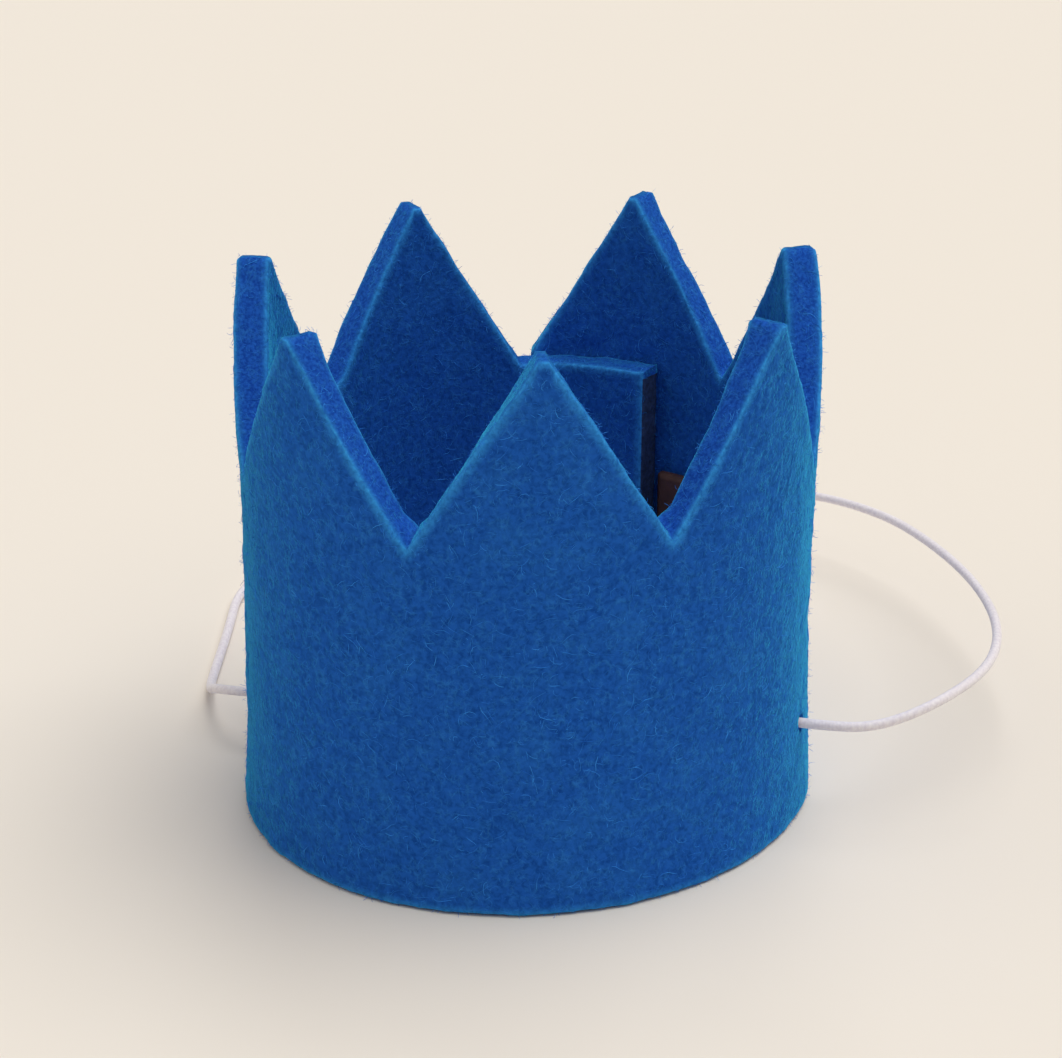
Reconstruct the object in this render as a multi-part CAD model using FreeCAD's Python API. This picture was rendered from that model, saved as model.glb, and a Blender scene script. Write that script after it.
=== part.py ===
"""Mini dress-up crown: one strip of thick wool felt rolled into a ring, with an elastic chin cord.

Millimetres, +Z up. The crown stands on its cut lower rim, at z = 0. Angles are in degrees
from the front, which is -Y, towards +X. Lengths along the strip are measured in the middle
of the felt, from the lowest point of the valley at the back seam.
"""
import FreeCAD, Part
import bisect
import math
import os

Vector = FreeCAD.Vector

# The rolled strip of felt
outer_diameter = 56.0
ovality = 0.032
long_axis_angle = -52.0
felt_thickness = 3.2
seam_angle = 184.0

# The seven points
point_count = 7
point_height = 53.5
valley_height = 35.7
tip_width = 0.9
tip_height_offsets = (-0.1, 0.2, -0.3, 0.5, -0.2, -0.2, 0.2)
tip_side_offsets = (-0.3, 0.6, 0.0, -0.1, 0.2, 0.2, 0.6)

# The plain tab that carries the strip on inside its other end
tab_length = 15.7
tab_end_height = 37.1

# The adhesive between the tab and the outer end
glue_thickness = 0.3
glue_inset = 3.5

# The bare patch on the inside of the back wall
label_width = 15.0
label_height = 11.0
label_thickness = 0.8
label_bottom = 14.4
label_beside_tab = 0.3

# The elastic cord, its two punched holes and its stopper knots
cord_diameter = 1.0
hole_diameter = 1.8
right_hole_angle = 77.0
right_hole_height = 9.6
left_hole_angle = -106.0
left_hole_height = 5.0
knot_diameter = 3.0
knot_length = 2.6
knot_neck_diameter = 1.8
knot_sides = 12
knot_rings = 7
exit_run = 2.2

# The cord's route outside the wall, from the left hole round behind to the right hole
cord_route = (
    (-31.4, 9.5, 4.7),
    (-33.3, 12.2, 3.6),
    (-34.3, 16.0, 1.6),
    (-34.8, 20.0, 0.6),
    (-34.7, 26.5, 0.6),
    (-34.6, 34.6, 0.6),
    (-34.8, 43.8, 0.6),
    (-31.2, 53.2, 0.6),
    (-22.4, 60.0, 0.6),
    (-10.2, 64.2, 1.0),
    (3.9, 65.9, 2.8),
    (18.2, 64.7, 5.4),
    (30.8, 60.1, 7.6),
    (40.1, 51.4, 8.4),
    (45.4, 39.6, 8.9),
    (48.4, 27.6, 9.4),
    (49.0, 16.1, 9.9),
    (46.7, 5.6, 10.4),
    (41.0, -3.2, 10.8),
    (34.5, -6.5, 9.4),
)

# Clearance between pieces that only touch, and how finely the rolled strip is sampled
touch_clearance = 0.05
walk_step = 0.5
spline_points = 9
trim_share = 0.45

# The two layers of the lap run side by side on an easing curve, whose slope peaks at 1.5
outer_radius = outer_diameter / 2
half_felt = felt_thickness / 2
seam_start = seam_angle - 360
ease_peak = 1.5
lap_slope = math.atan(ease_peak * (felt_thickness + glue_thickness) / tab_length)
layer_step = (felt_thickness + glue_thickness) / math.cos(lap_slope)
lap_angle = math.degrees(tab_length / (outer_radius - half_felt - layer_step / 2))


def ease(share):
    """Smooth rise from 0 to 1 with level ends."""
    share = min(max(share, 0), 1)
    return share * share * (3 - 2 * share)


def plain_radius(angle):
    """Radius of the slightly oval ring, in the middle of the felt, with no lap."""
    oval = 1 + ovality * math.cos(2 * math.radians(angle - long_axis_angle))
    return oval * outer_radius - half_felt


def lap_offset(angle):
    """How far the lap moves the felt out: the tab eases inwards, and the end over it outwards."""
    if angle < seam_start:
        return -layer_step * ease((seam_start - angle) / lap_angle)
    return layer_step * (1 - ease((seam_angle - angle) / lap_angle))


def middle(angle):
    """Point in the middle of the felt at an angle."""
    radius = plain_radius(angle) + lap_offset(angle)
    turn = math.radians(angle)
    return Vector(radius * math.sin(turn), -radius * math.cos(turn), 0)


def outward(angle):
    """Unit vector out of the felt at an angle."""
    along = middle(angle + walk_step) - middle(angle - walk_step)
    return Vector(along.y, -along.x, 0).normalize()


def walk(step, steps):
    """Angles and lengths along the strip, counted from the seam in equal turns."""
    angles = [seam_start]
    lengths = [0.0]
    for _ in range(steps):
        angle = angles[-1] + step
        lengths.append(lengths[-1] + math.copysign((middle(angle) - middle(angles[-1])).Length, step))
        angles.append(angle)
    return angles, lengths


ring_angles, ring_lengths = walk(walk_step, round(360 / walk_step))
tab_turn = 2 * lap_angle
tab_angles, tab_lengths = walk(-walk_step, math.ceil(tab_turn / walk_step))
strip_angles = tab_angles[:0:-1] + ring_angles
strip_lengths = tab_lengths[:0:-1] + ring_lengths
walk_turn = math.radians(walk_step)
pitch = sum(plain_radius(angle) * walk_turn for angle in ring_angles[1:]) / point_count


def look_up(value, values, results):
    """Result at a value, between the two listed values that hold it."""
    after = min(max(bisect.bisect_left(values, value), 1), len(values) - 1)
    share = (value - values[after - 1]) / (values[after] - values[after - 1])
    return results[after - 1] + share * (results[after] - results[after - 1])


def angle_at(length):
    """Angle at a length along the strip."""
    return look_up(length, strip_lengths, strip_angles)


def length_at(angle):
    """Length along the strip at an angle."""
    return look_up(angle, strip_angles, strip_lengths)


def felt_point(length, depth, height):
    """Point at a length along the strip, a depth out of its middle and a height."""
    angle = angle_at(length)
    return middle(angle) + outward(angle) * depth + Vector(0, 0, height)


def edge_along(start, end, depth):
    """Edge from one (length, height) to another, straight on the flat strip."""
    points = []
    for index in range(spline_points):
        share = index / (spline_points - 1)
        length = start[0] + share * (end[0] - start[0])
        height = start[1] + share * (end[1] - start[1])
        points.append(felt_point(length, depth, height))
    curve = Part.BSplineCurve()
    curve.interpolate(points)
    return curve.toShape()


def end_face(station, low, depths):
    """Flat end cut of a rolled sheet, square to the felt."""
    length, high = station
    feet = [felt_point(length, depth, low) for depth in depths]
    heads = [felt_point(length, depth, high) for depth in depths]
    return Part.makeRuledSurface(*[Part.makeLine(foot, head) for foot, head in zip(feet, heads)])


def low_edge(station, low, depths):
    """Lower edge of an end cut."""
    return Part.makeLine(*[felt_point(station[0], depth, low) for depth in depths])


def rolled_sheet(profile, low, depths):
    """Solid rolled from a flat sheet: profile is its top edge, low its straight lower edge."""
    faces = [end_face(profile[0], low, depths), end_face(profile[-1], low, depths)]
    rim = [low_edge(station, low, depths) for station in (profile[0], profile[-1])]
    for start, end in zip(profile, profile[1:]):
        bottoms = [edge_along((start[0], low), (end[0], low), depth) for depth in depths]
        tops = [edge_along(start, end, depth) for depth in depths]
        rim += bottoms
        faces.append(Part.makeRuledSurface(*tops))
        faces += [Part.makeRuledSurface(bottom, top) for bottom, top in zip(bottoms, tops)]
    faces.append(Part.Face(Part.Wire(Part.__sortEdges__(rim))))
    shell = Part.makeShell(faces)
    shell.sewShape()
    solid = Part.makeSolid(shell)
    if solid.Volume < 0:
        solid.reverse()
    return solid


def strip_profile():
    """Top edge of the strip on the flat: the tab, then one point after another."""
    half_tip = tip_width / 2
    tips = []
    for index in range(point_count):
        offset = tip_height_offsets[index % len(tip_height_offsets)]
        side = tip_side_offsets[index % len(tip_side_offsets)]
        tips.append(((index + 0.5) * pitch + side, point_height + offset))
    profile = [(-tab_length, tab_end_height), (0, valley_height)]
    for index, (length, height) in enumerate(tips):
        profile += [(length - half_tip, height), (length + half_tip, height)]
        profile.append(((index + 1) * pitch, valley_height))
    return profile


def hole_axis(angle, height):
    """Point on the felt's inner face at a cord hole, and the direction out through the hole."""
    out = outward(angle)
    return middle(angle) - out * half_felt + Vector(0, 0, height), out


def punch(hole):
    """Cutter for one cord hole, longer than the felt is thick."""
    start, out = hole
    return Part.makeCylinder(hole_diameter / 2, 3 * felt_thickness, start - out * felt_thickness, out)


left_hole = hole_axis(left_hole_angle, left_hole_height)
right_hole = hole_axis(right_hole_angle, right_hole_height)


def make_felt_band():
    """The whole crown wall, cut and rolled from one strip, with its two punched holes."""
    band = rolled_sheet(strip_profile(), 0, (-half_felt, half_felt))
    return band.cut(punch(left_hole)).cut(punch(right_hole))


def make_seam_glue():
    """Adhesive between the tab and the strip's outer end."""
    low = glue_inset
    high = valley_height - glue_inset
    profile = [(glue_inset - tab_length, high), (-glue_inset, high)]
    depths = (half_felt + touch_clearance, half_felt + glue_thickness - touch_clearance)
    return rolled_sheet(profile, low, depths)


def make_inner_label():
    """Bare patch on the inside of the outer end, beside the tab."""
    end = length_at(angle_at(-tab_length) + 360) - label_beside_tab
    high = label_bottom + label_height
    inner = -half_felt - touch_clearance
    return rolled_sheet([(end - label_width, high), (end, high)], label_bottom, (inner - label_thickness, inner))


def knot_face(hole):
    """Centre of the knot's flat face, just inside the felt."""
    start, out = hole
    return start - out * 2 * touch_clearance


def make_knot(hole):
    """Stopper knot inside the wall, a faceted barrel that is flat where the cord leaves it."""
    rings = []
    for index in range(knot_rings):
        share = index / (knot_rings - 1)
        bulge = math.sin(math.pi * share)
        radius = (knot_neck_diameter + (knot_diameter - knot_neck_diameter) * bulge) / 2
        turns = [2 * math.pi * side / knot_sides for side in range(knot_sides + 1)]
        corners = [Vector(radius * math.cos(t), radius * math.sin(t), -knot_length * share) for t in turns]
        rings.append(Part.makePolygon(corners))
    knot = Part.makeLoft(rings, True, True)
    knot.Placement = FreeCAD.Placement(knot_face(hole), FreeCAD.Rotation(Vector(0, 0, 1), hole[1]))
    return knot


def cord_points():
    """Corners of the cord's whole route, from one knot to the other."""
    ends = []
    for hole in (left_hole, right_hole):
        start, out = hole
        ends.append((knot_face(hole), start + out * (felt_thickness + exit_run)))
    route = [Vector(*point) for point in cord_route]
    return [ends[0][0], ends[0][1], *route, ends[1][1], ends[1][0]]


def make_elastic_cord():
    """Round cord along straight runs joined by arcs as large as the runs allow."""
    points = cord_points()
    edges = []
    radii = []
    reached = points[0]
    for before, corner, after in zip(points, points[1:], points[2:]):
        arriving = corner - before
        leaving = after - corner
        trim = trim_share * min(arriving.Length, leaving.Length)
        arc_start = corner - arriving.normalize() * trim
        arc_end = corner + leaving.normalize() * trim
        half_turn = arriving.getAngle(leaving) / 2
        radius = trim / math.tan(half_turn)
        radii.append(radius)
        inwards = (arc_start + arc_end) * 0.5 - corner
        depth = radius / math.cos(half_turn) - radius
        edges.append(Part.makeLine(reached, arc_start))
        edges.append(Part.Arc(arc_start, corner + inwards.normalize() * depth, arc_end).toShape())
        reached = arc_end
    edges.append(Part.makeLine(reached, points[-1]))
    path = Part.Wire(edges)
    section = Part.Wire(Part.makeCircle(cord_diameter / 2, points[0], points[1] - points[0]))
    tube = path.makePipeShell([section], True, True)
    expected = math.pi * cord_diameter ** 2 / 4 * path.Length
    print("cord length", round(path.Length, 1), "volume share", round(tube.Volume / expected, 4))
    print("cord radii", [round(radius, 1) for radius in radii])
    return tube


nodes = {
    "felt_band": make_felt_band(),
    "seam_glue": make_seam_glue(),
    "inner_label": make_inner_label(),
    "elastic_cord": make_elastic_cord(),
    "left_cord_knot": make_knot(left_hole),
    "right_cord_knot": make_knot(right_hole),
}

# The origin is under the middle of the ring's box, on the surface that it stands on
ring_box = nodes["felt_band"].optimalBoundingBox(False)
to_origin = Vector(-ring_box.Center.x, -ring_box.Center.y, -ring_box.ZMin)
print("moved by", [round(value, 3) for value in to_origin])

os.makedirs("parts", exist_ok=True)
for name, shape in nodes.items():
    shape.translate(to_origin)
    shape.exportStep(f"parts/{name}.step")
    print(name, shape.ShapeType, "valid", shape.isValid(), "volume", round(shape.Volume, 2))
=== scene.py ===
"""Mini dress-up crown of thick blue wool felt with a thin elastic chin cord, on a pale floor."""
import bisect
import math
import random

import bpy
from mathutils import Matrix, Vector
from mathutils.bvhtree import BVHTree


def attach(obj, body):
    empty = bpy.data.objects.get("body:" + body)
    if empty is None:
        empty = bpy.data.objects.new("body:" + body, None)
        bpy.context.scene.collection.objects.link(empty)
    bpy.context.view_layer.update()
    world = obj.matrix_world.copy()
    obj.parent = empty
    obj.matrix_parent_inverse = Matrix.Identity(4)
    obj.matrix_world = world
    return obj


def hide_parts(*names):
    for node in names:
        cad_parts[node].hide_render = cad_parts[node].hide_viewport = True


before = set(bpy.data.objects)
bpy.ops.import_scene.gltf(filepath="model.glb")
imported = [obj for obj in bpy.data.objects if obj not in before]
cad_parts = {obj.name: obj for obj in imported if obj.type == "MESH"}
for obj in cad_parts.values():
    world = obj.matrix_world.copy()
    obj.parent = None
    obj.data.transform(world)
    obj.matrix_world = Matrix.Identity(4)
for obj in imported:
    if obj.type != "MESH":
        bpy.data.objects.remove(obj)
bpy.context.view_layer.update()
bpy.ops.object.select_all(action="DESELECT")

# The ring's own centre lies in front of the origin, because the lap at the back stands out
ring_centre = Vector((0, -0.00176, 0))

# Camera
# It stands in front of the crown, a little to its right, and looks down on it by 22.6 degrees.
# The focus is the distance, in picture widths of 1062 pixels, at which a pixel is one unit.
picture_width = 1062
camera_focus = 2777.6
camera_place = Vector((0.00567, -0.24991, 0.13101)) + ring_centre
camera_pan = 0.0221
camera_tilt = 0.3937
camera_roll = 0.0030
bpy.ops.object.camera_add()
camera = bpy.context.object
camera.name = "camera"
camera.data.sensor_width = 36
camera.data.lens = camera_focus / picture_width * camera.data.sensor_width
camera.data.clip_start = 0.01
camera.matrix_world = (
    Matrix.Translation(camera_place)
    @ Matrix.Rotation(camera_pan, 4, "Z")
    @ Matrix.Rotation(math.pi / 2 - camera_tilt, 4, "X")
    @ Matrix.Rotation(camera_roll, 4, "Z")
)
bpy.context.scene.camera = camera

# Elastic cord
# Round elastic with a fine knitted cover, white with a lilac cast, one millimetre thick. It comes
# out of the left hole, lies on the floor behind the crown, rises and enters the right hole.
cord_diameter = 0.0010
cord_route = (
    (-0.023511, 0.006627, 0.0050),
    (-0.028688, 0.008483, 0.0050),
    (-0.0314, 0.0095, 0.0047),
    (-0.0333, 0.0122, 0.0036),
    (-0.0343, 0.0160, 0.0016),
    (-0.0348, 0.0200, 0.0006),
    (-0.0347, 0.0265, 0.0006),
    (-0.0346, 0.0346, 0.0006),
    (-0.0348, 0.0438, 0.0006),
    (-0.0312, 0.0532, 0.0006),
    (-0.0224, 0.0600, 0.0006),
    (-0.0102, 0.0642, 0.0010),
    (0.0039, 0.0659, 0.0028),
    (0.0182, 0.0647, 0.0054),
    (0.0308, 0.0601, 0.0076),
    (0.0401, 0.0514, 0.0084),
    (0.0454, 0.0396, 0.0089),
    (0.0484, 0.0276, 0.0094),
    (0.0490, 0.0161, 0.0099),
    (0.0467, 0.0056, 0.0104),
    (0.0410, -0.0032, 0.0108),
    (0.0345, -0.0065, 0.0094),
    (0.029179, -0.006997, 0.0096),
    (0.023915, -0.005405, 0.0096),
)


def routed_tube(name, route, radius, resolution):
    """Round tube along a smooth line, as a mesh, and the points that it follows."""
    curve = bpy.data.curves.new(name, "CURVE")
    curve.dimensions = "3D"
    curve.resolution_u = resolution
    spline = curve.splines.new("NURBS")
    spline.points.add(len(route) - 1)
    for point, place in zip(spline.points, route):
        point.co = (*place, 1)
    spline.order_u = 3
    spline.use_endpoint_u = True
    tube = bpy.data.objects.new(name, curve)
    bpy.context.collection.objects.link(tube)
    line = bpy.data.meshes.new_from_object(tube)
    path = [vertex.co.copy() for vertex in line.vertices]
    bpy.data.meshes.remove(line)
    curve.bevel_depth = radius
    curve.bevel_resolution = 4
    curve.use_fill_caps = True
    bpy.ops.object.select_all(action="DESELECT")
    tube.select_set(True)
    bpy.context.view_layer.objects.active = tube
    bpy.ops.object.convert(target="MESH")
    bpy.ops.object.mode_set(mode="EDIT")
    bpy.ops.mesh.select_all(action="SELECT")
    bpy.ops.mesh.remove_doubles(threshold=radius * 0.01)
    bpy.ops.mesh.normals_make_consistent(inside=False)
    bpy.ops.object.mode_set(mode="OBJECT")
    bpy.ops.object.shade_smooth()
    return bpy.context.object, path


elastic = bpy.data.materials.new("knitted elastic")
elastic.use_nodes = True
tree = elastic.node_tree
shader = tree.nodes["Principled BSDF"]
shader.inputs["Roughness"].default_value = 0.62
shader.inputs["Sheen Weight"].default_value = 0.35
shader.inputs["Sheen Roughness"].default_value = 0.5
place = tree.nodes.new("ShaderNodeTexCoord")
noise = tree.nodes.new("ShaderNodeTexNoise")
noise.inputs["Scale"].default_value = 2600
noise.inputs["Detail"].default_value = 3
tree.links.new(place.outputs["Object"], noise.inputs["Vector"])
ramp = tree.nodes.new("ShaderNodeValToRGB")
ramp.color_ramp.elements[0].position = 0.35
ramp.color_ramp.elements[0].color = (0.80, 0.74, 0.80, 1)
ramp.color_ramp.elements[1].position = 0.65
ramp.color_ramp.elements[1].color = (0.92, 0.87, 0.90, 1)
tree.links.new(noise.outputs["Fac"], ramp.inputs["Fac"])
tree.links.new(ramp.outputs["Color"], shader.inputs["Base Color"])
ribs = tree.nodes.new("ShaderNodeTexWave")
ribs.inputs["Scale"].default_value = 900
ribs.inputs["Distortion"].default_value = 2.0
ribs.inputs["Detail"].default_value = 1
tree.links.new(place.outputs["Object"], ribs.inputs["Vector"])
bump = tree.nodes.new("ShaderNodeBump")
bump.inputs["Strength"].default_value = 0.3
bump.inputs["Distance"].default_value = 0.00003
tree.links.new(ribs.outputs["Fac"], bump.inputs["Height"])
tree.links.new(bump.outputs["Normal"], shader.inputs["Normal"])

cord_points = [Vector(place) + ring_centre for place in cord_route]
cord, cord_path = routed_tube("elastic_loop", cord_points, cord_diameter / 2, 14)
cord.data.materials.append(elastic)

# Stopper knots
# Each end of the cord is tied in a plain overhand knot inside the wall, with a short cut tail.
knot_scale = 0.00044
knot_turns = 26
knot_opening = 0.30
knot_offset = 0.0024
knots = []
for name, inner_end, next_point in (
    ("left_tied_knot", cord_points[0], cord_points[1]),
    ("right_tied_knot", cord_points[-1], cord_points[-2]),
):
    inwards = (inner_end - next_point).normalized()
    up = Vector((0, 0, 1))
    aside = inwards.cross(up).normalized()
    middle = inner_end + inwards * knot_offset
    route = [inner_end - inwards * 0.0002, inner_end + inwards * 0.0005]
    for index in range(knot_turns + 1):
        turn = knot_opening + 2 * (math.pi - knot_opening) * index / knot_turns
        reach = 2 + math.cos(3 * turn)
        route.append(
            middle
            - inwards * reach * math.cos(2 * turn) * knot_scale
            + up * reach * math.sin(2 * turn) * knot_scale
            + aside * math.sin(3 * turn) * knot_scale
        )
    tail = route[-1]
    route.append(tail + (inwards * 0.4 - up) * 0.0009)
    route.append(tail + (inwards * 0.9 - up) * 0.0019)
    knot, _ = routed_tube(name, route, cord_diameter / 2 * 0.94, 4)
    knot.data.materials.append(elastic)
    knots.append(knot)

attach(cord, "root")
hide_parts("elastic_cord")
for knot, node in zip(knots, ("left_cord_knot", "right_cord_knot")):
    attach(knot, "root")
    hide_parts(node)

# Felt wall
# One strip of thick pressed wool felt, cut with seven points along its upper edge, rolled into a
# ring with its plain tab inside its other end. It is modelled flat, with X along the strip, Y into
# the ring and Z up, then rolled along the ring's line and drawn in a little at half height.
felt_thickness = 0.0032
glue_thickness = 0.0003
ring_radius = 0.0280
ring_ovality = 0.032
ring_long_axis = -52.0
seam_angle = -176.0
tab_length = 0.0157
tab_end_height = 0.0371
valley_height = 0.0357
tip_height = 0.0535
tip_width = 0.0009
tip_height_offsets = (-0.0001, 0.0002, -0.0003, 0.0005, -0.0002, -0.0002, 0.0002)
tip_side_offsets = (-0.0003, 0.0006, 0.0, -0.0001, 0.0002, 0.0002, -0.0003)
valley_height_offsets = (0.0, 0.0, 0.0, 0.0, 0.0, 0.0013, 0.0)
valley_side_offsets = (0.0, 0.0, 0.0, 0.0, 0.0, -0.0007, 0.0)
half_felt = felt_thickness / 2
lap_slope = math.atan(1.5 * (felt_thickness + glue_thickness) / tab_length)
layer_step = (felt_thickness + glue_thickness) / math.cos(lap_slope)
lap_angle = math.degrees(tab_length / (ring_radius - half_felt - layer_step / 2))


def ease(share):
    """Smooth rise from 0 to 1 with level ends."""
    share = min(max(share, 0), 1)
    return share * share * (3 - 2 * share)


def ring_point(angle):
    """Middle of the felt at an angle from the front, with the lap's two layers eased apart."""
    if angle < seam_angle:
        offset = -layer_step * ease((seam_angle - angle) / lap_angle)
    else:
        offset = layer_step * (1 - ease((seam_angle + 360 - angle) / lap_angle))
    oval = 1 + ring_ovality * math.cos(2 * math.radians(angle - ring_long_axis))
    radius = ring_radius * oval - half_felt + offset
    turn = math.radians(angle)
    return Vector((radius * math.sin(turn), -radius * math.cos(turn), 0))


ring_step = 0.45
tab_angle = seam_angle
tab_reach = 0
while tab_reach < tab_length:
    tab_reach += (ring_point(tab_angle) - ring_point(tab_angle - ring_step / 9)).length
    tab_angle -= ring_step / 9
ring_angles = [tab_angle]
while ring_angles[-1] < seam_angle + 360:
    ring_angles.append(ring_angles[-1] + ring_step)
ring_line = [ring_point(angle) for angle in ring_angles]
ring_lengths = [0]
for before, after in zip(ring_line, ring_line[1:]):
    ring_lengths.append(ring_lengths[-1] + (after - before).length)
pitch = 2 * math.pi * (ring_radius - half_felt) / len(tip_height_offsets)
strip_length = tab_length + len(tip_height_offsets) * pitch


def length_at(angle):
    """Length along the strip, from the tab's end, at an angle of the ring."""
    after = bisect.bisect_left(ring_angles, angle)
    share = (angle - ring_angles[after - 1]) / ring_step
    return ring_lengths[after - 1] + share * (ring_lengths[after] - ring_lengths[after - 1])


path_curve = bpy.data.curves.new("ring path", "CURVE")
path_curve.dimensions = "3D"
path_spline = path_curve.splines.new("POLY")
path_spline.points.add(len(ring_line) - 1)
for point, place in zip(path_spline.points, ring_line):
    point.co = (*place, 1)
ring_path = bpy.data.objects.new("ring path", path_curve)
bpy.context.collection.objects.link(ring_path)
waist_linear = -1.974
waist_square = 37.0


def roll_up(piece):
    """Roll a flat piece along the ring's line, draw its middle in and set it in its place."""
    bpy.ops.object.select_all(action="DESELECT")
    piece.select_set(True)
    bpy.context.view_layer.objects.active = piece
    roll = piece.modifiers.new("roll", "CURVE")
    roll.object = ring_path
    roll.deform_axis = "POS_X"
    bpy.ops.object.modifier_apply(modifier=roll.name)
    for vertex in piece.data.vertices:
        z = vertex.co.z
        waist = 1 + waist_linear * z + waist_square * z * z
        vertex.co.x *= waist
        vertex.co.y *= waist
        vertex.co += ring_centre


# The upper edge on the flat: the tab, then point after point, with a column at each corner
half_tip = tip_width / 2
corners = [(0, tab_end_height), (tab_length, valley_height)]
for index, (offset, side) in enumerate(zip(tip_height_offsets, tip_side_offsets)):
    tip = tab_length + (index + 0.5) * pitch + side
    corners += [(tip - half_tip, tip_height + offset), (tip + half_tip, tip_height + offset)]
    valley = tab_length + (index + 1) * pitch + valley_side_offsets[index]
    corners.append((valley, valley_height + valley_height_offsets[index]))
cell = 0.00048
columns = []
for (start, low), (end, high) in zip(corners, corners[1:]):
    count = max(3, round((end - start) / cell))
    slope = (high - low) / (end - start)
    for index in range(count):
        share = index / count
        edge_slope = 0 if index == 0 else slope
        columns.append((start + (end - start) * share, low + (high - low) * share, edge_slope))
columns.append((*corners[-1], 0))
row_count = 96
bottom_crowding = 1.25
top_crowding = 1.35
level_share = 0.56
level_height = 0.0290
inner_valley_rise = 0.0012
valley_reach = 0.0022
rounding = 0.00045
foot_lift = 0.00034
foot_reach = 0.0012


def row_height(share, top):
    """Height of a grid row: level rows low down, then rows that close up towards the cut edge."""
    if share <= level_share:
        even = share / level_share
        return level_height * even ** bottom_crowding
    rest = (share - level_share) / (1 - level_share)
    return level_height + (top - level_height) * (1 - (1 - rest) ** top_crowding)


bpy.ops.object.select_all(action="DESELECT")
bpy.ops.mesh.primitive_grid_add(x_subdivisions=len(columns) - 1, y_subdivisions=row_count, size=1)
felt = bpy.context.object
felt.name = "felt_crown_wall"
for vertex in felt.data.vertices:
    place, top, _ = columns[round((vertex.co.x + 0.5) * (len(columns) - 1))]
    vertex.co = (place, 0, row_height(vertex.co.y + 0.5, top))

solidify = felt.modifiers.new("thickness", "SOLIDIFY")
solidify.thickness = felt_thickness
solidify.offset = 0
bpy.ops.object.modifier_apply(modifier=solidify.name)
bpy.ops.object.mode_set(mode="EDIT")
bpy.ops.mesh.select_mode(type="EDGE")
bpy.ops.mesh.select_all(action="DESELECT")
bpy.ops.object.mode_set(mode="OBJECT")
for edge in felt.data.edges:
    a, b = (felt.data.vertices[index].co for index in edge.vertices)
    edge.select = abs(a.y - b.y) > felt_thickness * 0.9
bpy.ops.object.mode_set(mode="EDIT")
bpy.ops.mesh.subdivide(number_cuts=8)
bpy.ops.mesh.select_all(action="SELECT")
bpy.ops.mesh.normals_make_consistent(inside=False)
bpy.ops.object.mode_set(mode="OBJECT")

# The cut edges are rounded by hand. The scissors leave each valley higher on the inside, all but
# the one at the back right.
valley_lengths = [tab_length + index * pitch for index in range(1, len(tip_height_offsets) - 1)]
full_tips = [tab_length + (index + 0.5) * pitch + tip_side_offsets[index] for index in (2, 4)]
tip_swell = 0.16
swell_depth = 0.0040
cut_share = felt.data.attributes.new("cut", "FLOAT", "POINT")
edge_share = felt.data.attributes.new("edge", "FLOAT", "POINT")
cut_start = 0.0001
cut_fade = 0.0004
rim_reach = 0.0010
# Faces of the tab's cut end, up to a little below its top, take the second material: painted shade, nearly
# black, for the gap beside the outer wall
painted_shade_top = tab_end_height - 0.0008
for face in felt.data.polygons:
    face.material_index = 1 if face.center.x < 0.00001 and face.center.z < painted_shade_top else 0
column_places = [place for place, _, _ in columns]
for index, vertex in enumerate(felt.data.vertices):
    x, y, z = vertex.co
    column = min(bisect.bisect_left(column_places, x - 1e-6), len(columns) - 1)
    _, top, slope = columns[column]
    lean = math.atan(slope)
    ways = (
        ((top - z) * math.cos(lean), Vector((math.sin(lean), 0, -math.cos(lean)))),
        (z, Vector((0, 0, 1))),
        (x, Vector((1, 0, 0))),
        (strip_length - x, Vector((-1, 0, 0))),
    )
    depth, inwards = min(ways, key=lambda way: way[0])
    depth = max(depth, 0)
    buried = half_felt - abs(y)
    side = math.copysign(1, y)
    cut_share.data[index].value = min(max((buried - cut_start) / cut_fade, 0), 1)
    edge_share.data[index].value = max(0, 1 - max(depth, buried) / rim_reach)
    if depth < rounding and buried < rounding:
        turn = math.pi / 4 * (1 - depth / rounding) + math.pi / 4 * buried / rounding
        new_depth = rounding - rounding * math.sin(turn)
        vertex.co += inwards * (new_depth - depth)
        vertex.co.y = side * (half_felt - rounding * (1 - math.cos(turn)))
    vertex.co.z = max(vertex.co.z, foot_lift * max(0, 1 - buried / foot_reach))
    if min(abs(x - tip) for tip in full_tips) < pitch / 2:
        vertex.co.y *= 1 + tip_swell * ease((z - tip_height + swell_depth) / swell_depth)
    for valley in valley_lengths:
        nearness = max(0, 1 - math.hypot(x - valley, (z - valley_height) * 0.6) / valley_reach)
        if nearness > 0:
            vertex.co.z += inner_valley_rise * ease(nearness) * (0.5 + y / felt_thickness)

# Two punched holes for the cord
hole_diameter = 0.0018
left_hole_angle = -106.0
left_hole_height = 0.0050
right_hole_angle = 77.0
right_hole_height = 0.0096
for angle, height in ((left_hole_angle, left_hole_height), (right_hole_angle, right_hole_height)):
    bpy.ops.object.select_all(action="DESELECT")
    bpy.ops.mesh.primitive_cylinder_add(
        vertices=28,
        radius=hole_diameter / 2,
        depth=felt_thickness * 2,
        location=(length_at(angle), 0, height),
        rotation=(math.pi / 2, 0, 0),
    )
    punch = bpy.context.object
    bpy.ops.object.select_all(action="DESELECT")
    felt.select_set(True)
    bpy.context.view_layer.objects.active = felt
    cut = felt.modifiers.new("hole", "BOOLEAN")
    cut.object = punch
    cut.operation = "DIFFERENCE"
    cut.solver = "EXACT"
    bpy.ops.object.modifier_apply(modifier=cut.name)
    bpy.data.objects.remove(punch)
roll_up(felt)

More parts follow.
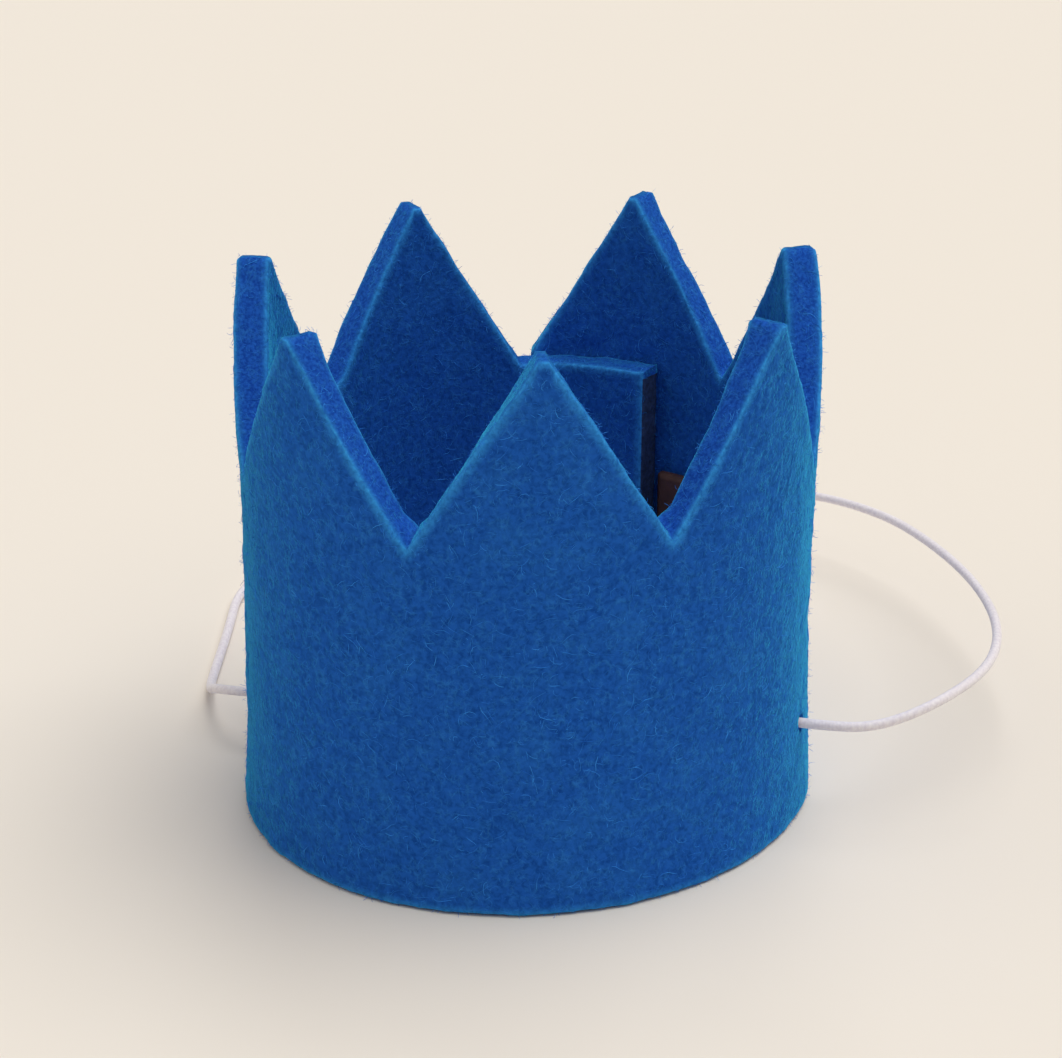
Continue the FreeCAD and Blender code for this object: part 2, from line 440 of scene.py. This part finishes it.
# Unevenness of pressed wool: broad waves, then lumps of a few millimetres, then fine grain
for name, size, strength in (
    ("wave", 0.020, 0.0004),
    ("lumps", 0.0040, 0.00026),
    ("grain", 0.0010, 0.00016),
):
    texture = bpy.data.textures.new(name, "CLOUDS")
    texture.noise_scale = size
    texture.noise_depth = 1
    displace = felt.modifiers.new(name, "DISPLACE")
    displace.texture = texture
    displace.strength = strength
    displace.texture_coords = "LOCAL"
    bpy.ops.object.modifier_apply(modifier=displace.name)
for vertex in felt.data.vertices:
    vertex.co.z = max(vertex.co.z, 0)
bpy.ops.object.shade_smooth()


def math_node(tree, operation, first, second=None):
    """Math node in a tree, fed by sockets or numbers."""
    node = tree.nodes.new("ShaderNodeMath")
    node.operation = operation
    for socket, value in zip(node.inputs, (first, second)):
        if value is None:
            continue
        if isinstance(value, (int, float)):
            socket.default_value = value
        else:
            tree.links.new(value, socket)
    return node.outputs[0]


def mix_colour(tree, factor, first, second):
    """Mix of two colours, each a socket or a colour."""
    node = tree.nodes.new("ShaderNodeMix")
    node.data_type = "RGBA"
    tree.links.new(factor, node.inputs["Factor"])
    for name, value in (("A", first), ("B", second)):
        if isinstance(value, tuple):
            node.inputs[name].default_value = (*value, 1)
        else:
            tree.links.new(value, node.inputs[name])
    return node.outputs["Result"]


def fibre_group():
    """Node group for pressed wool: pits, broad mottling and thin curly fibre lines."""
    group = bpy.data.node_groups.new("pressed wool", "ShaderNodeTree")
    for name, kind, value in (
        ("Vector", "NodeSocketVector", None),
        ("Pit scale", "NodeSocketFloat", 1900.0),
        ("Fibre scale", "NodeSocketFloat", 520.0),
        ("Fibre width", "NodeSocketFloat", 0.024),
    ):
        socket = group.interface.new_socket(name, in_out="INPUT", socket_type=kind)
        if value is not None:
            socket.default_value = value
    for name in ("Pits", "Mottle", "Fibres", "Height"):
        group.interface.new_socket(name, in_out="OUTPUT", socket_type="NodeSocketFloat")
    start = group.nodes.new("NodeGroupInput")
    end = group.nodes.new("NodeGroupOutput")

    def noise_node(scale, detail, roughness, distortion=0.0, vector=None):
        noise = group.nodes.new("ShaderNodeTexNoise")
        noise.inputs["Detail"].default_value = detail
        noise.inputs["Roughness"].default_value = roughness
        noise.inputs["Distortion"].default_value = distortion
        group.links.new(vector or start.outputs["Vector"], noise.inputs["Vector"])
        if isinstance(scale, (int, float)):
            noise.inputs["Scale"].default_value = scale
        else:
            group.links.new(scale, noise.inputs["Scale"])
        return noise.outputs["Fac"]

    pits = noise_node(start.outputs["Pit scale"], 3, 0.6, 0.4)
    group.links.new(pits, end.inputs["Pits"])
    group.links.new(noise_node(190, 3, 0.55), end.inputs["Mottle"])
    lines = None
    for shift, factor in ((0.0, 1.0), (0.37, 1.5), (0.71, 2.2)):
        move = group.nodes.new("ShaderNodeVectorMath")
        move.operation = "ADD"
        move.inputs[1].default_value = (shift, shift * 2, shift * 3)
        group.links.new(start.outputs["Vector"], move.inputs[0])
        scale = math_node(group, "MULTIPLY", start.outputs["Fibre scale"], factor)
        wander = noise_node(scale, 2, 0.5, 0.5, move.outputs[0])
        away = math_node(group, "ABSOLUTE", math_node(group, "SUBTRACT", wander, 0.5))
        share = math_node(group, "DIVIDE", away, start.outputs["Fibre width"])
        line = math_node(group, "SUBTRACT", 1.0, share)
        line = math_node(group, "MAXIMUM", line, 0.0)
        lines = line if lines is None else math_node(group, "MAXIMUM", lines, line)
    breaks = math_node(group, "SUBTRACT", noise_node(900, 1, 0.5), 0.42)
    breaks = math_node(group, "MULTIPLY", breaks, 6.0)
    breaks = math_node(group, "MINIMUM", math_node(group, "MAXIMUM", breaks, 0.0), 1.0)
    lines = math_node(group, "MULTIPLY", lines, breaks)
    group.links.new(lines, end.inputs["Fibres"])
    height = math_node(group, "MULTIPLY", lines, 0.45)
    height = math_node(group, "ADD", height, math_node(group, "MULTIPLY", pits, 1.3))
    height = math_node(group, "ADD", height, math_node(group, "MULTIPLY", noise_node(3200, 2, 0.6), 0.45))
    group.links.new(height, end.inputs["Height"])
    return group


pressed_wool = fibre_group()
pit_blue = (0.0062, 0.068, 0.345)
felt_blue = (0.0138, 0.114, 0.510)
fibre_blue = (0.045, 0.285, 0.740)
cut_dark = (0.0068, 0.056, 0.365)
cut_light = (0.0158, 0.112, 0.545)
# Lighter cyan for the painted highlight along the cut edges
edge_highlight_blue = (0.052, 0.410, 0.930)
# Nearly black blue for the tab's cut end: painted shade
painted_shade_blue = (0.0200, 0.036, 0.085)

blue_felt = bpy.data.materials.new("blue wool felt")
blue_felt.use_nodes = True
tree = blue_felt.node_tree
shader = tree.nodes["Principled BSDF"]
shader.inputs["Roughness"].default_value = 0.95
shader.inputs["Specular IOR Level"].default_value = 0.05
shader.inputs["Sheen Weight"].default_value = 1.0
shader.inputs["Sheen Roughness"].default_value = 0.32
shader.inputs["Sheen Tint"].default_value = (0.06, 0.68, 1.0, 1)
place = tree.nodes.new("ShaderNodeTexCoord")
wool = tree.nodes.new("ShaderNodeGroup")
wool.node_tree = pressed_wool
tree.links.new(place.outputs["Object"], wool.inputs["Vector"])
ramp = tree.nodes.new("ShaderNodeValToRGB")
ramp.color_ramp.elements[0].position = 0.34
ramp.color_ramp.elements[0].color = (*pit_blue, 1)
ramp.color_ramp.elements[1].position = 0.60
ramp.color_ramp.elements[1].color = (*felt_blue, 1)
tree.links.new(wool.outputs["Pits"], ramp.inputs["Fac"])
masks = {}
for name in ("cut", "edge"):
    reader = tree.nodes.new("ShaderNodeAttribute")
    reader.attribute_name = name
    masks[name] = reader.outputs["Fac"]
mottle = math_node(tree, "MULTIPLY", math_node(tree, "SUBTRACT", wool.outputs["Mottle"], 0.5), 0.5)
mottle = math_node(tree, "MAXIMUM", mottle, 0.0)
colour = mix_colour(tree, mottle, ramp.outputs["Color"], fibre_blue)
# Painted highlight: within about a millimetre of the cut edges the colour turns a lighter cyan, broken up
# by the pits, for the rounded fuzzy edges catching the light
highlight_breakup = math_node(tree, "ADD", math_node(tree, "MULTIPLY", wool.outputs["Pits"], 1.3), -0.05)
colour = mix_colour(tree, math_node(tree, "MULTIPLY", masks["edge"], highlight_breakup), colour, edge_highlight_blue)
grain = tree.nodes.new("ShaderNodeTexNoise")
grain.inputs["Scale"].default_value = 3400
grain.inputs["Detail"].default_value = 2
tree.links.new(place.outputs["Object"], grain.inputs["Vector"])
speckle = tree.nodes.new("ShaderNodeValToRGB")
speckle.color_ramp.elements[0].position = 0.38
speckle.color_ramp.elements[0].color = (*cut_dark, 1)
speckle.color_ramp.elements[1].position = 0.62
speckle.color_ramp.elements[1].color = (*cut_light, 1)
tree.links.new(grain.outputs["Fac"], speckle.inputs["Fac"])
colour = mix_colour(tree, math_node(tree, "MULTIPLY", masks["cut"], 0.90), colour, speckle.outputs["Color"])
colour = mix_colour(tree, math_node(tree, "MULTIPLY", wool.outputs["Fibres"], 0.30), colour, fibre_blue)
tree.links.new(colour, shader.inputs["Base Color"])
bump = tree.nodes.new("ShaderNodeBump")
bump.inputs["Strength"].default_value = 0.45
bump.inputs["Distance"].default_value = 0.00022
tree.links.new(wool.outputs["Height"], bump.inputs["Height"])
tree.links.new(bump.outputs["Normal"], shader.inputs["Normal"])
felt.data.materials.append(blue_felt)

# The tab's cut end face takes a second felt, nearly black and without sheen: painted shade for the dark gap
# where the tab's end meets the outer wall
shaded_end_felt = bpy.data.materials.new("felt end with painted shade")
shaded_end_felt.use_nodes = True
tree = shaded_end_felt.node_tree
shader = tree.nodes["Principled BSDF"]
shader.inputs["Roughness"].default_value = 0.85
shader.inputs["Specular IOR Level"].default_value = 0.1
place = tree.nodes.new("ShaderNodeTexCoord")
wool = tree.nodes.new("ShaderNodeGroup")
wool.node_tree = pressed_wool
tree.links.new(place.outputs["Object"], wool.inputs["Vector"])
ramp = tree.nodes.new("ShaderNodeValToRGB")
ramp.color_ramp.elements[0].position = 0.34
ramp.color_ramp.elements[0].color = (*painted_shade_blue, 1)
ramp.color_ramp.elements[1].position = 0.66
ramp.color_ramp.elements[1].color = (*(2 * value for value in painted_shade_blue), 1)
tree.links.new(wool.outputs["Pits"], ramp.inputs["Fac"])
tree.links.new(ramp.outputs["Color"], shader.inputs["Base Color"])
bump = tree.nodes.new("ShaderNodeBump")
bump.inputs["Strength"].default_value = 0.4
bump.inputs["Distance"].default_value = 0.0002
tree.links.new(wool.outputs["Height"], bump.inputs["Height"])
tree.links.new(bump.outputs["Normal"], shader.inputs["Normal"])
felt.data.materials.append(shaded_end_felt)

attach(felt, "root")
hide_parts("felt_band")

# Loose fibres
# Wool ends that lie curled over the felt's faces, and shorter ones that stand off its surface,
# thickest along the cut edges. Each is a closed three-sided thread that thins towards its ends.
fibre_rings = 5
fibre_sides = 3
bare_foot = 0.00005
fibre_material = bpy.data.materials.new("loose wool")
fibre_material.use_nodes = True
tree = fibre_material.node_tree
shader = tree.nodes["Principled BSDF"]
shader.inputs["Roughness"].default_value = 0.9
shader.inputs["Specular IOR Level"].default_value = 0.05
shader.inputs["Sheen Weight"].default_value = 0.5
shader.inputs["Sheen Roughness"].default_value = 0.4
shader.inputs["Sheen Tint"].default_value = (0.04, 0.55, 0.90, 1)
place = tree.nodes.new("ShaderNodeTexCoord")
noise = tree.nodes.new("ShaderNodeTexNoise")
noise.inputs["Scale"].default_value = 600
tree.links.new(place.outputs["Object"], noise.inputs["Vector"])
# The loose fibres are coloured lighter than the felt they come from: painted sheen, for lit fibres looking
# lighter
ramp = tree.nodes.new("ShaderNodeValToRGB")
ramp.color_ramp.elements[0].position = 0.38
ramp.color_ramp.elements[0].color = (0.018, 0.145, 0.600, 1)
ramp.color_ramp.elements[1].position = 0.62
ramp.color_ramp.elements[1].color = (0.052, 0.320, 0.880, 1)
tree.links.new(noise.outputs["Fac"], ramp.inputs["Fac"])
tree.links.new(ramp.outputs["Color"], shader.inputs["Base Color"])

random.seed(7)
felt.data.calc_loop_triangles()
surface = BVHTree.FromObject(felt, bpy.context.evaluated_depsgraph_get())
corner_places = [vertex.co.copy() for vertex in felt.data.vertices]
edge_values = [item.value for item in felt.data.attributes["edge"].data]


def weighted_triangles(edge_weight):
    """The felt's triangles with running totals of their area, weighted towards the cut edges."""
    triangles = []
    totals = []
    total = 0
    for triangle in felt.data.loop_triangles:
        nearness = sum(edge_values[index] for index in triangle.vertices) / 3
        low = min(corner_places[index].z for index in triangle.vertices)
        if low < bare_foot or triangle.material_index == 1:
            continue
        total += triangle.area * (1 + edge_weight * nearness)
        triangles.append((triangle.vertices[:], triangle.normal.copy()))
        totals.append(total)
    return triangles, totals


def random_place(pool):
    """Random point on the felt's surface and its normal there."""
    triangles, totals = pool
    drawn = bisect.bisect_left(totals, random.random() * totals[-1])
    vertices, normal = triangles[min(drawn, len(totals) - 1)]
    a, b, c = (corner_places[index] for index in vertices)
    s, t = random.random(), random.random()
    if s + t > 1:
        s, t = 1 - s, 1 - t
    return a + (b - a) * s + (c - a) * t, normal


def lying_fibre(pool):
    """Points of a fibre that lies curled on the felt, with both ends pressed into it."""
    place, normal = random_place(pool)
    heading = normal.orthogonal().normalized()
    heading.rotate(Matrix.Rotation(random.uniform(0, 2 * math.pi), 3, normal))
    bend = random.gauss(0, 0.45)
    step = random.uniform(0.00022, 0.00060)
    rise = random.uniform(0.00001, 0.00008)
    points = []
    for index in range(fibre_rings):
        location, near, _, _ = surface.find_nearest(place)
        arch = math.sin(math.pi * index / (fibre_rings - 1))
        points.append(location + near * (rise * arch - 0.00002))
        heading = (heading - near * heading.dot(near)).normalized()
        heading.rotate(Matrix.Rotation(bend + random.gauss(0, 0.25), 3, near))
        place = location + heading * step
    return points


def standing_fibre(pool):
    """Points of a fibre that stands off the felt and curls over."""
    place, normal = random_place(pool)
    heading = (normal + Vector([random.gauss(0, 0.7) for _ in range(3)])).normalized()
    curl = Vector([random.gauss(0, 0.35) for _ in range(3)])
    step = random.uniform(0.00006, 0.00019)
    points = [place - normal * 0.00004]
    for _ in range(fibre_rings - 1):
        heading = (heading + curl).normalized()
        points.append(points[-1] + heading * step)
        points[-1].z = max(points[-1].z, 0.00003)
    return points


def fibre_piece(name, fibre, pool, count, radius):
    """Mesh of many thin closed fibres."""
    vertices = []
    faces = []
    for _ in range(count):
        points = fibre(pool)
        base = len(vertices)
        for index, point in enumerate(points):
            along = points[min(index + 1, fibre_rings - 1)] - points[max(index - 1, 0)]
            side = along.orthogonal().normalized()
            other = along.cross(side).normalized()
            size = radius * (0.35 + 0.65 * math.sin(math.pi * (index + 0.5) / fibre_rings))
            for corner in range(fibre_sides):
                turn = 2 * math.pi * corner / fibre_sides
                vertices.append(point + side * size * math.cos(turn) + other * size * math.sin(turn))
        for ring in range(fibre_rings - 1):
            for corner in range(fibre_sides):
                first = base + ring * fibre_sides + corner
                second = base + ring * fibre_sides + (corner + 1) % fibre_sides
                faces.append((first, second, second + fibre_sides, first + fibre_sides))
        end = base + (fibre_rings - 1) * fibre_sides
        faces.append((base + 2, base + 1, base))
        faces.append((end, end + 1, end + 2))
    mesh = bpy.data.meshes.new(name)
    mesh.from_pydata(vertices, [], faces)
    mesh.materials.append(fibre_material)
    piece = bpy.data.objects.new(name, mesh)
    bpy.context.collection.objects.link(piece)
    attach(piece, "root")
    return piece


fibre_share = 1.0
even_pool = weighted_triangles(0.5)
edge_pool = weighted_triangles(9.0)
fibres = [
    fibre_piece("felt_fibres_1", lying_fibre, even_pool, int(7000 * fibre_share), 0.000018),
    fibre_piece("felt_fibres_2", lying_fibre, even_pool, int(2600 * fibre_share), 0.000032),
    fibre_piece("felt_fuzz_1", standing_fibre, even_pool, int(7000 * fibre_share), 0.000010),
    fibre_piece("felt_fuzz_2", standing_fibre, edge_pool, int(7400 * fibre_share), 0.000020),
]


def rolled_pad(name, start, end, low, high, near, far, cells=30, corner=0.0004):
    """Thin pad cut flat between two lengths, heights and depths, softened at its edges and rolled."""
    bpy.ops.object.select_all(action="DESELECT")
    bpy.ops.mesh.primitive_grid_add(x_subdivisions=cells, y_subdivisions=cells, size=1)
    pad = bpy.context.object
    pad.name = name
    for vertex in pad.data.vertices:
        across = start + (end - start) * (vertex.co.x + 0.5)
        up = low + (high - low) * (vertex.co.y + 0.5)
        vertex.co = (across, (near + far) / 2, up)
    thicken = pad.modifiers.new("thickness", "SOLIDIFY")
    thicken.thickness = far - near
    thicken.offset = 0
    bpy.ops.object.modifier_apply(modifier=thicken.name)
    soften = pad.modifiers.new("soft edges", "BEVEL")
    soften.width = min(corner, (far - near) * 0.35)
    soften.segments = 2
    soften.limit_method = "ANGLE"
    bpy.ops.object.modifier_apply(modifier=soften.name)
    bpy.ops.object.mode_set(mode="EDIT")
    bpy.ops.mesh.select_all(action="SELECT")
    bpy.ops.mesh.normals_make_consistent(inside=False)
    bpy.ops.object.mode_set(mode="OBJECT")
    roll_up(pad)
    bpy.ops.object.shade_smooth()
    return pad


# Seam adhesive
# Dried clear craft adhesive in one pad between the tab and the strip's outer end. It is hidden.
glue_inset = 0.0035
clearance = 0.00005
glue = rolled_pad(
    "seam_adhesive",
    glue_inset,
    tab_length - glue_inset,
    glue_inset,
    valley_height - glue_inset,
    -half_felt - glue_thickness + clearance,
    -half_felt - clearance,
)
adhesive = bpy.data.materials.new("dried adhesive")
adhesive.use_nodes = True
tree = adhesive.node_tree
shader = tree.nodes["Principled BSDF"]
shader.inputs["Roughness"].default_value = 0.35
place = tree.nodes.new("ShaderNodeTexCoord")
noise = tree.nodes.new("ShaderNodeTexNoise")
noise.inputs["Scale"].default_value = 420
noise.inputs["Detail"].default_value = 4
tree.links.new(place.outputs["Object"], noise.inputs["Vector"])
ramp = tree.nodes.new("ShaderNodeValToRGB")
ramp.color_ramp.elements[0].color = (0.42, 0.38, 0.29, 1)
ramp.color_ramp.elements[1].color = (0.66, 0.63, 0.54, 1)
tree.links.new(noise.outputs["Fac"], ramp.inputs["Fac"])
tree.links.new(ramp.outputs["Color"], shader.inputs["Base Color"])
bump = tree.nodes.new("ShaderNodeBump")
bump.inputs["Strength"].default_value = 0.5
bump.inputs["Distance"].default_value = 0.0001
tree.links.new(noise.outputs["Fac"], bump.inputs["Height"])
tree.links.new(bump.outputs["Normal"], shader.inputs["Normal"])
glue.data.materials.append(adhesive)
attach(glue, "root")
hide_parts("seam_glue")

# Inner patch
# A bare patch of thin brown leather, stuck low on the inside of the back wall beside the tab.
label_width = 0.0150
label_height = 0.0110
label_thickness = 0.0008
label_bottom = 0.0144
label_beside_tab = 0.0003
label_end = length_at(tab_angle + 360) - label_beside_tab
patch = rolled_pad(
    "inner_patch",
    label_end - label_width,
    label_end,
    label_bottom,
    label_bottom + label_height,
    half_felt - 0.0001,
    half_felt + label_thickness + 0.00025,
)
leather = bpy.data.materials.new("brown leather")
leather.use_nodes = True
tree = leather.node_tree
shader = tree.nodes["Principled BSDF"]
shader.inputs["Roughness"].default_value = 0.6
place = tree.nodes.new("ShaderNodeTexCoord")
grain = tree.nodes.new("ShaderNodeTexVoronoi")
grain.feature = "DISTANCE_TO_EDGE"
grain.inputs["Scale"].default_value = 1900
tree.links.new(place.outputs["Object"], grain.inputs["Vector"])
noise = tree.nodes.new("ShaderNodeTexNoise")
noise.inputs["Scale"].default_value = 350
noise.inputs["Detail"].default_value = 5
tree.links.new(place.outputs["Object"], noise.inputs["Vector"])
ramp = tree.nodes.new("ShaderNodeValToRGB")
ramp.color_ramp.elements[0].position = 0.3
ramp.color_ramp.elements[0].color = (0.045, 0.019, 0.020, 1)
ramp.color_ramp.elements[1].position = 0.7
ramp.color_ramp.elements[1].color = (0.105, 0.046, 0.040, 1)
tree.links.new(noise.outputs["Fac"], ramp.inputs["Fac"])
tree.links.new(ramp.outputs["Color"], shader.inputs["Base Color"])
bump = tree.nodes.new("ShaderNodeBump")
bump.inputs["Strength"].default_value = 0.5
bump.inputs["Distance"].default_value = 0.0001
tree.links.new(math_node(tree, "MINIMUM", grain.outputs["Distance"], 0.12), bump.inputs["Height"])
tree.links.new(bump.outputs["Normal"], shader.inputs["Normal"])
patch.data.materials.append(leather)
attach(patch, "root")
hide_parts("inner_label")
bpy.data.objects.remove(ring_path)

# Floor
# A plain pale surface that runs past the picture on every side.
bpy.ops.object.select_all(action="DESELECT")
bpy.ops.mesh.primitive_plane_add(size=6, location=(0, 0, -0.00002))
floor = bpy.context.object
floor.name = "floor"
floor_material = bpy.data.materials.new("pale floor")
floor_material.use_nodes = True
floor_shader = floor_material.node_tree.nodes["Principled BSDF"]
floor_shader.inputs["Base Color"].default_value = (0.850, 0.790, 0.710, 1)
floor_shader.inputs["Roughness"].default_value = 0.9
floor_shader.inputs["Specular IOR Level"].default_value = 0.05
floor.data.materials.append(floor_material)

# Light
# Soft daylight mostly from above, to the right and behind, some from above the front right, a
# narrower light from behind that gives the cord its shadows, a weak one from the left, and faint
# even light from all round.
for name, place, spread, strength in (
    ("daylight above", Vector((0.35, 0.17, 0.92)), 54, 1.66),
    ("front daylight", Vector((0.27, -0.43, 0.86)), 52, 0.52),
    ("back light", Vector((0.0, 0.75, 1.0)), 18, 0.26),
    ("left window", Vector((-0.75, -0.20, 0.65)), 60, 0.38),
):
    bpy.ops.object.light_add(type="SUN", location=place)
    lamp = bpy.context.object
    lamp.name = name
    lamp.data.angle = math.radians(spread)
    lamp.data.energy = strength
    lamp.data.color = (1.0, 0.995, 0.98)
    lamp.rotation_euler = place.to_track_quat("Z", "Y").to_euler()
world = bpy.data.worlds.new("soft room")
bpy.context.scene.world = world
world.use_nodes = True
tree = world.node_tree
even = tree.nodes["Background"]
even.inputs["Color"].default_value = (1.0, 0.94, 0.88, 1)
even.inputs["Strength"].default_value = 0.27
seen = tree.nodes.new("ShaderNodeBackground")
seen.inputs["Color"].default_value = (0.84, 0.78, 0.70, 1)
rays = tree.nodes.new("ShaderNodeLightPath")
choice = tree.nodes.new("ShaderNodeMixShader")
tree.links.new(rays.outputs["Is Camera Ray"], choice.inputs["Fac"])
tree.links.new(even.outputs["Background"], choice.inputs[1])
tree.links.new(seen.outputs["Background"], choice.inputs[2])
tree.links.new(choice.outputs["Shader"], tree.nodes["World Output"].inputs["Surface"])
bpy.context.scene.view_settings.view_transform = "Standard"
